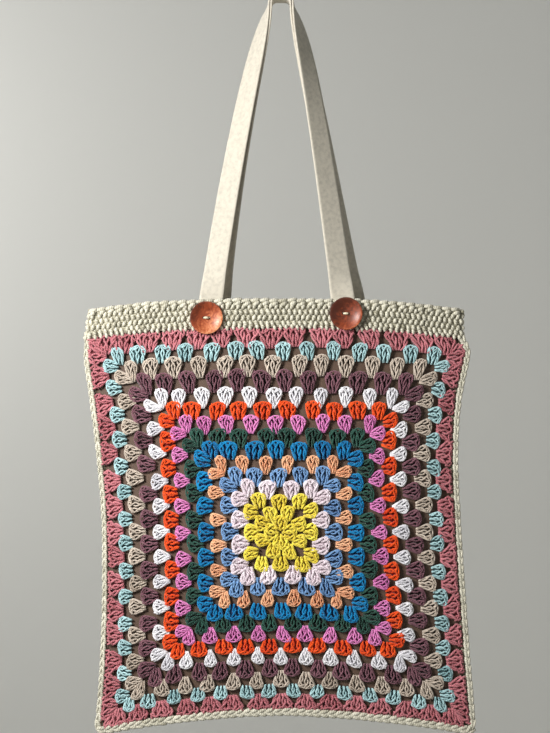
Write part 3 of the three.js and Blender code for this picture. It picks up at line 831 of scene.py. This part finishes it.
def make_band(material):
    pile = YarnPile(sides=6)
    girth = collar_path(0.5, BAND_WALL_FAR, GIRTH_STEPS)[3]
    top_of_rows = 1 - ROWS_BELOW_TOP / BAND_HEIGHT
    row_height = top_of_rows * BAND_HEIGHT / BAND_ROWS
    count = int(round(girth / BAND_STITCH))
    steps = np.linspace(0, 1, 6)
    radius = STITCH_RADIUS * tapered(steps, 0.4, 0.6, 0.1)
    for row in range(BAND_ROWS):
        share = (row + 0.66) / BAND_ROWS * top_of_rows + 0.02
        places, run, out, _ = collar_path(share, BAND_WALL_FAR, count, row * 0.5)
        shake = random.normal(0, 1, (4, count, 1))
        tone = random.normal(0, 0.07, count)
        lean = STITCH_LEAN[row % 2] + 0.14 * shake[0]
        rise = (0.5 - steps) * row_height * (0.92 + 0.1 * shake[1])
        beside = rise * np.tan(lean) + 0.22 * shake[2]
        lift = 1.5 * np.sin(math.pi * np.clip(steps * 0.9 + 0.05, 0, 1)) - 0.7 + 0.15 * shake[3]
        rise = rise + 0.2 * shake[3]
        paths = strands_at(places, (run, beside), (UP, rise), (out, lift))
        pile.lay(paths, radius, tone)
    add_chain_round_mouth(pile)
    add_foot_beads(pile, girth)
    piece = pile.make("band_single_crochet", material)
    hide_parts("top_band")
    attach(piece, "root")


def add_chain_round_mouth(pile):
    """The chain of V's that finishes the band's top edge, its points all running one way."""
    girth = collar_path(0.9, BAND_WALL_FAR, GIRTH_STEPS)[3]
    count = int(round(girth / BAND_CHAIN))
    places, run, out, _ = collar_path(1 - CHAIN_BELOW_TOP / BAND_HEIGHT, BAND_WALL_FAR - 0.6, count)
    steps = np.linspace(0, 1, 7)
    hump = np.sin(math.pi * steps)
    radius = CHAIN_RADIUS * tapered(steps, 0.45, 0.55, 0.08)
    tone = random.normal(0, 0.06, count)
    shake = random.normal(0, 0.22, (count, 1))
    # The outer leg climbs to the point, the upper leg lies along the top, and the third hides
    # behind: each one's start and end along the band in chains, upwards and outwards
    legs = (
        (-0.2, 0.42, -2.9, -0.5, 1.3, 0.9),
        (-0.5, 0.5, 0.5, 1.8, 0.7, -0.2),
        (-0.4, 0.5, -0.6, 1.2, -2.2, -0.8),
    )
    for start, end, low, high, out_start, out_end in legs:
        beside = (start + (end - start) * steps) * BAND_CHAIN
        rise = low + (high - low) * steps + shake
        reach = out_start + (out_end - out_start) * steps + 0.6 * hump
        paths = strands_at(places, (run, beside), (UP, rise), (out, reach))
        pile.lay(paths, radius, tone + random.normal(0, UNEVEN_STRAND_TONE, count))


def add_foot_beads(pile, girth):
    """The short upright stitches over the outermost round, where the band begins."""
    count = int(round(girth / BAND_BEAD))
    places, run, out, _ = collar_path(0.0, BAND_WALL_FAR + 0.5, count)
    steps = np.linspace(0, 1, 6)
    shake = random.normal(0, 0.35, (2, count, 1))
    rise = 2.2 - 3.6 * steps + shake[0]
    beside = 0.9 * (steps - 0.5) + shake[1]
    lift = 1.2 * np.sin(math.pi * steps) - 0.4
    paths = strands_at(places, (run, beside), (UP, rise), (out, lift))
    radius = BEAD_RADIUS * tapered(steps, 0.55, 0.5, 0.1)
    pile.lay(paths, radius, random.normal(0.04, UNEVEN_TONE, count))


def make_band_backing(material):
    """The yarn body behind the band's stitches, as a closed collar of one wall, in painted shade."""
    heights = np.linspace(0.0, 1 - BACKING_BELOW_TOP / BAND_HEIGHT, 6)
    count = 220
    outer = [collar_path(share, BAND_WALL_FAR - 0.3, count)[0] for share in heights]
    inner = [collar_path(share, BAND_WALL_NEAR, count)[0] for share in heights]
    loops = np.stack([*outer, *inner[::-1], outer[0]])
    points = loops[:-1].reshape(-1, 3)
    faces = grid_faces(len(loops), count, is_ring=True) % len(points)
    around = np.tile(np.arange(count) / count, len(loops) - 1)
    flat = np.stack([around, points[:, 2]], axis=-1)
    # Painted shade: the backing is darker, as yarn in shade behind the stitches
    tone = np.full(len(points), -0.2)
    piece = make_mesh("band_backing", points, [faces], uv=[flat[faces.reshape(-1)]], tone=tone)
    piece.data.materials.append(material)
    recalculate_normals(piece)
    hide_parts("top_band")
    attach(piece, "root")


# The braid round the other three sides

BRAID_PITCH = 6.4
# How far out the braid's middle and its innermost strand lie: at the left, the foot and the right
BRAID_MIDDLE = (4.2, 4.6, 5.0)
BRAID_INNER = (1.3, 1.6, 1.6)
# The strands under the V's: from one point to the next, the innermost one's radius, and the
# radius of the core's two, which is also how far each lies off the middle
CORE_SPACING = 3.0
INNER_RADIUS = 1.9
CORE_RADIUS = 2.5
# How far the braid draws in where it runs up to the band
INTO_BAND = 2.0
# A V's inner and outer leg: how far out each one's foot is, and its radius
BRAID_LEGS = ((-2.3, 1.45), (2.6, 1.85))


def braid_path(reach, spacing):
    """Points down the left edge, along the foot and up the right edge, at a reach from each,
    with the way that the braid runs, the direction out of the bag, and how full the braid is."""
    count = 150
    fine = np.linspace(0.995, -1, count)
    left = panel_point("front", np.full(count, -1.0), fine)[:2]
    foot = panel_point("front", np.linspace(-1, 1, count), np.full(count, -1.0))[:2]
    right = panel_point("front", np.ones(count), fine[::-1])[:2]
    stretches = []
    into_band = INTO_BAND * smoothstep(fine, 0.86, 0.995)
    offsets = (reach[0] - into_band, np.full(count, reach[1]), reach[2] - into_band[::-1])
    for (x, z), away in zip((left, foot, right), offsets):
        place = np.stack([x, z], axis=-1)
        run = unit(np.gradient(place, axis=0))
        stretches.append(place + away[:, None] * np.stack([run[:, 1], -run[:, 0]], axis=-1))
    # An arc joins the stretches at each lower corner, from the one's reach to the other's
    corners = []
    blend = np.linspace(0, 1, 11)
    for x, z, start, away in (
        (left[0][-1], left[1][-1], 175, reach[0] + (reach[1] - reach[0]) * blend),
        (right[0][0], right[1][0], 260, reach[1] + (reach[2] - reach[1]) * blend),
    ):
        turn = np.radians(start + 104 * blend)
        corners.append(np.stack([x + away * np.cos(turn), z + away * np.sin(turn)], axis=-1))
    flat = np.concatenate([stretches[0], corners[0], stretches[1], corners[1], stretches[2]])
    count = int(round(path_length(flat) / spacing))
    x, z = stations(flat, np.linspace(0, 1, count)).T
    places = np.stack([x, np.zeros(count), z], axis=-1)
    run = unit(np.gradient(places, axis=0))
    # The braid is fullest along the foot
    fullness = 0.64 + 0.36 * np.abs(run[:, 0])
    return places, run, np.cross(run, THROUGH), fullness


def make_braid(material):
    """A chain of plump V's that lies along the edge on each face, over a soft core."""
    pile = YarnPile(sides=6)
    inner = braid_path(BRAID_INNER, CORE_SPACING)[0]
    # Painted shade: the innermost strand is darker, filling the shaded gap between the last round and
    # the braid
    pile.lay(inner[None], INNER_RADIUS, -0.3)
    core, _, _, fullness = braid_path(BRAID_MIDDLE, CORE_SPACING)
    for y in (-CORE_RADIUS, CORE_RADIUS):
        pile.lay((core + y * THROUGH)[None], CORE_RADIUS * fullness[None])
    places, run, out, fullness = braid_path(BRAID_MIDDLE, BRAID_PITCH)
    count = len(places)
    fullness = fullness[:, None]
    steps = np.linspace(0, 1, 7)
    off_face = 2.7 + 1.1 * np.sin(math.pi * steps)
    spread = np.cos(steps * math.pi / 2)
    shake = random.normal(0, 0.25, (count, 1))
    tone = random.normal(0, UNEVEN_TONE, count)
    beside = (0.5 - steps * 1.3) * BRAID_PITCH + shake
    # Each V points up the left edge, and so on round; its outer leg is the one that shows most
    for face in (-1, 1):
        for foot_out, girth in BRAID_LEGS:
            reach = (foot_out * spread + 0.2) * fullness + 0.4 * shake
            paths = strands_at(places, (run, beside), (out, reach), (face * THROUGH, off_face))
            radius = girth * tapered(steps, 0.55, 0.45, 0.08) * (0.2 + 0.8 * fullness)
            pile.lay(paths, radius, tone + random.normal(0, UNEVEN_STRAND_TONE, count))
    piece = pile.make("edge_chain_braid", material)
    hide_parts("edge_braid")
    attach(piece, "root")


# The handles

STRAND_STEPS = 60
LOOP_STEPS = 8
TAB_STEPS = 6
# The back handle's webbing draws in to the front one's as this power of what is left of the way
BACK_FADE = 2
# How late the last of a strand's turn comes
TOP_TURN_BEND = 8
# How much the webbing's corners are rounded, and how many points each flat side has
EDGE_ROUNDING = 0.5
FLAT_POINTS = 11


def inward(hand):
    return 1 if hand == "left" else -1


def width_direction(hand, turn):
    return np.array([inward(hand) * math.cos(turn), -math.sin(turn), 0.0])


def lean_direction(hand, lean):
    return np.array([inward(hand) * math.sin(lean), 0.0, math.cos(lean)])


def loop_point(hand, radius, turn):
    """A point of the loop that the bag hangs by: flat in its middle and round at each end."""
    x = -inward(hand) * (LOOP_FLAT + radius * math.cos(turn))
    return np.array([x, 0.0, -LOOP_RADIUS + radius * math.sin(turn)])


def tab_points(side, hand):
    """The sewn end of a strand on the lining's inner face, from its lower end to the band's top,
    and the turn of the wall there."""
    x = TAB_X[hand] + (BACK_HANDLE_SHIFT[hand] if side == "back" else 0)
    across = np.linspace(-1, 1, 400)
    points = []
    for share in np.linspace(1 - TAB_LENGTH / BAND_HEIGHT, 1, TAB_STEPS):
        xs, zs, depths = band_point(side, across, share)
        low, high = np.interp([x - WEBBING_WIDTH / 2, x + WEBBING_WIDTH / 2], xs, depths)
        depth = (low + high) / 2 - GAP - WEBBING_THICKNESS / 2 - TAB_CLEARANCE
        points.append(np.array([x, facing(side) * depth, float(np.interp(x, xs, zs))]))
    slope = (high - low) / WEBBING_WIDTH
    return points, -facing(side) * math.atan(inward(hand) * slope)


def bezier(controls, share):
    weights = [(1 - share) ** 3, 3 * share * (1 - share) ** 2, 3 * share**2 * (1 - share), share**3]
    return sum(w * c for w, c in zip(weights, controls))


def strand_frames(side, hand):
    """Points, runs and width directions of one strand, from its tab to the top of the loop."""
    tabs = {wall: tab_points(wall, hand) for wall in ("front", "back")}
    tab, tab_turn = tabs[side]
    start = tabs["front"][0][-1]
    spread = tabs["back"][0][-1] - start
    end = loop_point(hand, LOOP_RADIUS + NESTING + WEBBING_THICKNESS / 2, UPPER_LEAN)
    second = start + LOWER_PULL * lean_direction(hand, LOWER_LEAN)
    third = end - UPPER_PULL * lean_direction(hand, UPPER_LEAN)
    second[1] = start[1] * 2 / 3
    third[1] = start[1] / 3
    controls = (start, second, third, end)
    frames = [(point, UP, width_direction(hand, tab_turn)) for point in tab[:-1]]
    last_turn = math.pi / 2 - EXIT_TURN - STRAND_TURN
    for share in np.arange(STRAND_STEPS + 1) / STRAND_STEPS:
        leave = float(smoothstep(share, 0, 0.1))
        turn = EXIT_TURN * leave + STRAND_TURN * share
        turn = turn + last_turn * share**TOP_TURN_BEND + tab_turn * (1 - leave)
        point = bezier(controls, share)
        run = unit(bezier(controls, min(1, share + 0.002)) - bezier(controls, max(0, share - 0.002)))
        across = width_direction(hand, turn)
        if side == "back":
            fade = (1 - share) ** BACK_FADE
            behind = unit(np.cross(run, across)) * inward(hand) * NESTING
            point = point + spread * fade + behind * (1 - fade)
        frames.append((point, run, across))
    radius = LOOP_RADIUS + (NESTING if side == "front" else 0) + WEBBING_THICKNESS / 2
    for step in range(1, LOOP_STEPS + 1):
        turn = UPPER_LEAN + (math.pi / 2 - UPPER_LEAN) * step / LOOP_STEPS
        point = loop_point(hand, radius, turn)
        frames.append((point, lean_direction(hand, turn), width_direction(hand, math.pi / 2)))
    return frames


def make_handle(side, material):
    """A strap of webbing: a flat section with rounded edges, swept from tab to tab."""
    left = strand_frames(side, "left")
    right = [(point, -run, across) for point, run, across in strand_frames(side, "right")[::-1]]
    frames = left + right
    half = WEBBING_WIDTH / 2
    thick = WEBBING_THICKNESS / 2
    # The section's points: across the webbing, through it, and across it from its first edge
    flat_part = np.linspace(-half + EDGE_ROUNDING, half - EDGE_ROUNDING, FLAT_POINTS)
    section = [(-half, 0.0, 0.0)]
    section += [(w, -thick, w + half) for w in flat_part]
    section += [(half, 0.0, WEBBING_WIDTH)]
    section += [(w, thick, w + half) for w in flat_part[::-1]]
    points = []
    flat = []
    along = 0.0
    before = frames[0][0]
    for point, run, across in frames:
        along += float(np.linalg.norm(point - before))
        before = point
        wide = unit(across - run * np.dot(across, run))
        normal = np.cross(run, wide)
        for w, t, u in section:
            points.append(point + wide * w + normal * t)
            flat.append((u, along))
    points = np.array(points)
    flat = np.array(flat)
    size = len(section)
    faces = grid_faces(len(frames), size, is_ring=True)
    ends = np.array([np.arange(size)[::-1], (len(frames) - 1) * size + np.arange(size)])
    uv = [flat[faces.reshape(-1)], flat[ends.reshape(-1)]]
    piece = make_mesh(f"webbing_handle_{side}", points, [faces, ends], uv=uv)
    piece.data.materials.append(material)
    recalculate_normals(piece)
    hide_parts(f"handle_{side}")
    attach(piece, "root")


# The buttons, in metres

BUTTON_RISE = 0.0042
RIM = 0.0016
# The rings of the dish: how far each is in from the one before, and how far down from it
DISH_RINGS = [
    (0.0016, 0.00084),
    (0.0018, 0.00076),
    (0.0020, 0.00062),
    (0.0022, 0.00042),
    (0.0024, 0.00016),
]
HOLE_RADIUS = 0.0011
HOLE_OFF_MIDDLE = 0.0022
EDGE_BEVEL = 0.00055
SEAT_DEPTH = 0.0003
# How much the bag's wall falls away under a button
SEAT_SLOPE = math.atan2(0.6, 14)
# How much paler the shell is painted at its lower right edge than its middle, as painted light
# where the dish faces the key lamp, and how much paler each button is as a whole
PAINTED_LIGHT_EDGE = 0.16
PALE = {"left": 0.02, "right": -0.16}
# The thread, in millimetres: half the way that it bridges, its radius, and where its turns lie
THREAD_HALF_SPAN = 2.3
THREAD_RADIUS = 0.42
THREAD_TURNS = (-0.55, 0.0, 0.55)


def select_top_face(piece):
    """Leaves the highest flat face of a mesh selected in edit mode."""
    bpy.ops.object.mode_set(mode="EDIT")
    bpy.ops.mesh.select_mode(type="FACE")
    bpy.ops.mesh.select_all(action="DESELECT")
    bpy.ops.object.mode_set(mode="OBJECT")
    faces = [f for f in piece.data.polygons if f.normal.z > 0.9]
    max(faces, key=lambda f: f.center.z).select = True
    bpy.ops.object.mode_set(mode="EDIT")


def make_button(hand, material):
    """A dished disc with a rolled rim and two thread holes, made lying flat and then seated."""
    low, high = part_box(f"button_{hand}")
    middle = (Vector(low) + Vector(high)) / 2
    radius = (high[2] - low[2]) / 2
    bpy.ops.mesh.primitive_cylinder_add(
        vertices=56, radius=radius, depth=BUTTON_RISE, location=(0, 0, BUTTON_RISE / 2)
    )
    button = bpy.context.object
    button.name = f"shell_button_{hand}"
    select_top_face(button)
    bpy.ops.mesh.inset(thickness=RIM)
    for step_in, step_down in DISH_RINGS:
        bpy.ops.mesh.inset(thickness=step_in)
        bpy.ops.transform.translate(value=(0, 0, -step_down))
    bpy.ops.object.mode_set(mode="OBJECT")
    for way in (-1, 1):
        bpy.ops.mesh.primitive_cylinder_add(
            vertices=20, radius=HOLE_RADIUS, depth=0.02, location=(way * HOLE_OFF_MIDDLE, 0, 0)
        )
        hole = bpy.context.object
        cut = button.modifiers.new("hole", "BOOLEAN")
        cut.object = hole
        cut.solver = "EXACT"
        select_only(button)
        bpy.ops.object.modifier_apply(modifier=cut.name)
        bpy.data.objects.remove(hole)
    select_only(button)
    rounding = button.modifiers.new("rounding", "BEVEL")
    rounding.width = EDGE_BEVEL
    rounding.segments = 3
    rounding.angle_limit = math.radians(28)
    bpy.ops.object.modifier_apply(modifier=rounding.name)
    bpy.ops.object.shade_smooth_by_angle(angle=math.radians(40))
    seat = Matrix.Translation((middle.x, high[1] - SEAT_DEPTH, middle.z))
    turn = Euler((math.radians(90), 0, inward(hand) * SEAT_SLOPE)).to_matrix().to_4x4()
    button.data.transform(seat @ turn @ button.matrix_world)
    button.matrix_world = Matrix.Identity(4)
    button.data.materials.append(material)
    # Painted light: the shell is painted paler towards its lower right, where the dish faces the key
    # lamp
    painted_light_and_tone = button.data.attributes.new("painted_light_and_tone", "FLOAT", "POINT")
    for vertex, value in zip(button.data.vertices, painted_light_and_tone.data):
        down_right = ((vertex.co.x - middle.x) - (vertex.co.z - middle.z)) / radius
        value.value = down_right * PAINTED_LIGHT_EDGE + PALE[hand]
    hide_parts(f"button_{hand}")
    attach(button, "root")


def make_button_thread(hand, material):
    """A few turns of thread across the button's two holes."""
    low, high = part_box(f"button_thread_{hand}")
    middle = (np.array(low) + np.array(high)) / 2 / MM
    front = low[1] / MM
    pile = YarnPile(sides=6)
    steps = np.linspace(-1, 1, 11)
    paths = []
    # Each turn of thread lies beside the one before and a little deeper
    for turn, tilt in enumerate(THREAD_TURNS):
        x = middle[0] + THREAD_HALF_SPAN * steps
        z = middle[2] + tilt * (1 - 0.5 * np.abs(steps))
        y = front + 0.55 + 3.4 * np.abs(steps) ** 5 + 0.1 * turn
        paths.append(np.stack([x, y, z], axis=-1))
    pile.lay(np.array(paths), THREAD_RADIUS)
    piece = pile.make(f"sewn_thread_{hand}", material)
    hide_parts(f"button_thread_{hand}")
    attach(piece, "root")


# The room, the lights and the camera

CAMERA_PLACE = (-0.005, -1.412, -0.306)
# In millimetres
LENS = 82.9
SENSOR_WIDTH = 36


def make_room():
    """A pale round room: a floor that curves up into the wall, open at the top."""
    radius = 3.4
    floor = -2.3
    top = 3.2
    cove = 0.9
    profile = [(0.001, floor), (radius - cove, floor)]
    for degrees in np.linspace(0, 90, 10)[1:]:
        turn = math.radians(degrees)
        profile.append((radius - cove + cove * math.sin(turn), floor + cove - cove * math.cos(turn)))
    profile.append((radius, top))
    count = 96
    turn = np.arange(count) / count * 2 * math.pi
    points = []
    for out, z in profile:
        points.append(np.stack([out * np.cos(turn), out * np.sin(turn), np.full(count, z)], axis=-1))
    points = np.concatenate(points) / MM
    room = make_mesh("studio_room", points, [grid_faces(len(profile), count, is_ring=True)])
    room.data.materials.append(Finish("studio_paint", ROOM_PAINT, 0.95).material)


def add_light(name, place, aim, size, power, colour):
    lamp = bpy.data.lights.new(name, "AREA")
    lamp.shape = "DISK"
    lamp.size = size
    lamp.energy = power
    lamp.color = colour
    holder = bpy.data.objects.new(name, lamp)
    holder.location = place
    holder.rotation_euler = (Vector(aim) - Vector(place)).to_track_quat("-Z", "Y").to_euler()
    bpy.context.scene.collection.objects.link(holder)


def light_the_room():
    bag = (0, 0, -0.42)
    wall = (-0.8, 3.3, 0.1)
    daylight = (1.0, 0.99, 0.97)
    window_light = (1.0, 0.99, 0.965)
    cool_light = (0.93, 0.96, 1.0)
    add_light("key_window", (-0.66, -0.66, 0.0), bag, size=0.3, power=13.5, colour=window_light)
    add_light("soft_fill", (1.3, -1.6, 0.1), bag, size=1.6, power=1.3, colour=cool_light)
    add_light("back_fill", (-0.6, 1.8, 0.6), bag, size=1.6, power=12, colour=daylight)
    add_light("wall_wash", (-1.8, 1.9, 0.4), wall, size=0.9, power=29, colour=daylight)
    world = bpy.data.worlds.new("daylight")
    world.use_nodes = True
    background = world.node_tree.nodes["Background"]
    background.inputs["Color"].default_value = (0.9, 0.92, 0.95, 1)
    background.inputs["Strength"].default_value = 0.2
    bpy.context.scene.world = world


def place_camera():
    """The camera faces the bag squarely, level with the middle of the picture."""
    lens = bpy.data.cameras.new("camera")
    lens.lens = LENS
    lens.sensor_width = SENSOR_WIDTH
    camera = bpy.data.objects.new("camera", lens)
    camera.location = CAMERA_PLACE
    camera.rotation_euler = (math.radians(90), 0, 0)
    bpy.context.scene.collection.objects.link(camera)
    bpy.context.scene.camera = camera


place_camera()
light_the_room()
make_room()

yarns = {row[0]: yarn_material(f"yarn_{row[0]}", row[3]) for row in ROUNDS}
cream_yarn = yarn_material("yarn_cream", CREAM)
sewing_thread = yarn_material("sewing_thread", THREAD_CREAM)
lining_cloth = lining_material()
webbing = webbing_material()
shell = button_material()

for wall in ("front", "back"):
    make_panel(wall, yarns)
    make_lining(wall, lining_cloth)
    make_handle(wall, webbing)
make_band_backing(cream_yarn)
make_band(cream_yarn)
make_braid(cream_yarn)
for hand_side in ("left", "right"):
    make_button(hand_side, shell)
    make_button_thread(hand_side, sewing_thread)

bpy.context.scene.view_settings.view_transform = "Standard"


def corners(box):
    return [[float(v) for v in corner] for corner in box]
